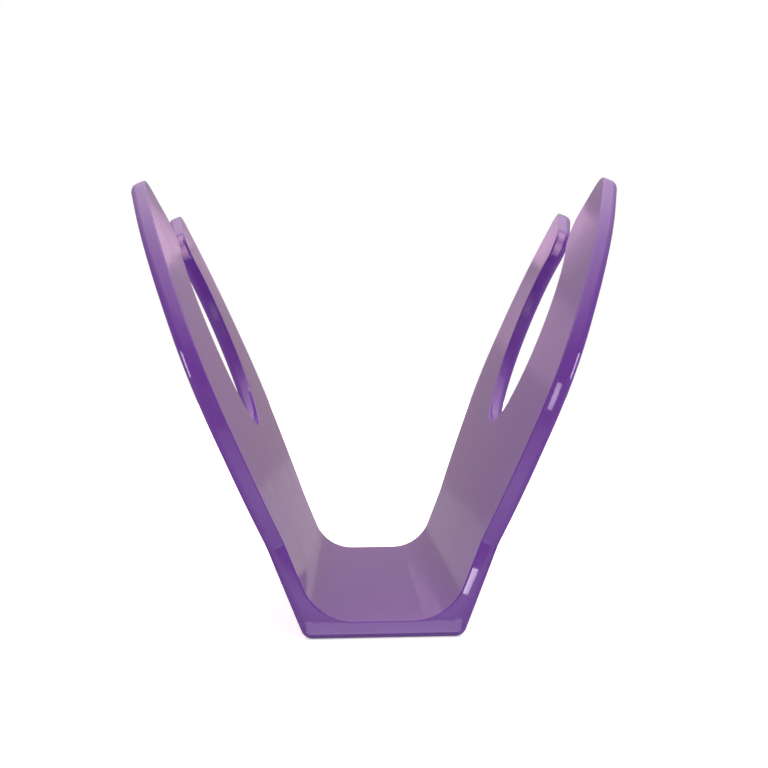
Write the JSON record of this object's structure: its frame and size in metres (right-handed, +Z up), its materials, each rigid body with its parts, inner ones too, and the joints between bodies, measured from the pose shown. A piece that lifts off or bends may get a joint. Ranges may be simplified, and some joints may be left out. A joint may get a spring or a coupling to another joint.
{
  "type": "taco holder",
  "caption": "V-shaped one-piece stand for a single taco, with four rounded lobes and a round finger opening in each wall.",
  "frame": {"origin": "middle of the flat underside of the base", "axes": "+Y runs along the trough, +X across it towards one wall, +Z up"},
  "size_m": [0.0868, 0.1026, 0.078],
  "materials": {
    "shell": "glossy"
  },
  "bodies": {
    "root": {"taco_holder": "shell"}
  },
  "joints": []
}
